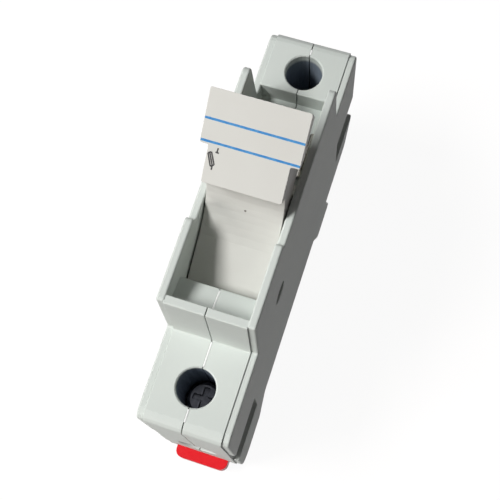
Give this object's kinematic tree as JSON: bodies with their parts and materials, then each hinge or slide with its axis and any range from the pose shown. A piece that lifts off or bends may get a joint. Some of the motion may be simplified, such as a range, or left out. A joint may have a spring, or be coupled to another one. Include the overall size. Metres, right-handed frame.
{
  "type": "fuse holder",
  "caption": "Slim rail-mounted holder with a tilting carrier for a cartridge fuse, a screw terminal at each end and a sprung clip for the rail.",
  "frame": {"origin": "centre of the rail seat on the back, on the joint plane of the two half shells", "axes": "+Z out of the front, away from the rail; +Y towards the upper terminal; +X towards the right-hand side wall"},
  "size_m": [0.018, 0.0851, 0.079],
  "materials": {
    "housing_grey": "fine satin moulding",
    "carrier_grey": "smooth moulding",
    "clip_red": "smooth moulding",
    "tinned_copper": "tinned",
    "zinc_steel": "zinc plated",
    "spring_steel": "bright drawn",
    "ceramic": "unglazed ceramic",
    "nickelled_brass": "nickel plated",
    "silver_strip": "bright",
    "quartz_sand": "packed grain"
  },
  "bodies": {
    "housing": {"housing_left": "housing_grey", "housing_right": "housing_grey", "housing_screw_lower": "zinc_steel", "housing_screw_upper": "zinc_steel", "housing_screw_rear": "zinc_steel", "upper_contact": "tinned_copper", "lower_contact": "tinned_copper", "upper_jaw_spring": "spring_steel", "lower_contact_spring": "spring_steel", "din_clip_spring": "spring_steel"},
    "carrier": {"carrier_lever": "carrier_grey"},
    "fuse": {"fuse_tube": "ceramic", "fuse_cap_upper": "nickelled_brass", "fuse_cap_lower": "nickelled_brass", "fuse_element": "silver_strip", "fuse_filler": "quartz_sand"},
    "upper_screw": {"upper_terminal_screw": "zinc_steel"},
    "upper_cage": {"upper_clamp_cage": "zinc_steel"},
    "lower_screw": {"lower_terminal_screw": "zinc_steel"},
    "lower_cage": {"lower_clamp_cage": "zinc_steel"},
    "rail_clip": {"din_clip": "clip_red"}
  },
  "joints": [
    {"name": "carrier_tilt", "type": "hinge", "parent": "housing", "child": "carrier", "pos_m": [0, -0.0041, 0.03605], "axis": [1, 0, 0], "range_deg": [-30, 3]},
    {"name": "fuse_slide", "type": "slide", "parent": "carrier", "child": "fuse", "axis": [0, 0.866, 0.5], "range_m": [0, 0.02]},
    {"name": "upper_screw_turn", "type": "hinge", "parent": "housing", "child": "upper_screw", "pos_m": [0, 0.04, 0.0243], "axis": [0, 0, -1], "range_deg": [0, 2250]},
    {"name": "upper_cage_lift", "type": "slide", "parent": "housing", "child": "upper_cage", "axis": [0, 0, 1], "range_m": [0, 0.005]},
    {"name": "lower_screw_turn", "type": "hinge", "parent": "housing", "child": "lower_screw", "pos_m": [0, -0.0264, 0.0243], "axis": [0, 0, -1], "range_deg": [0, 2250]},
    {"name": "lower_cage_lift", "type": "slide", "parent": "housing", "child": "lower_cage", "axis": [0, 0, 1], "range_m": [0, 0.005]},
    {"name": "clip_slide", "type": "slide", "parent": "housing", "child": "rail_clip", "axis": [0, -1, 0], "range_m": [0, 0.0045], "stiffness_N_per_m": 1200, "springref_m": -0.002, "deforming": ["din_clip_spring"]}
  ],
  "couplings": [
    {"joint": "upper_screw_turn", "follows": "upper_cage_lift", "rad_per_m": 7853.9},
    {"joint": "lower_screw_turn", "follows": "lower_cage_lift", "rad_per_m": 7853.9}
  ]
}
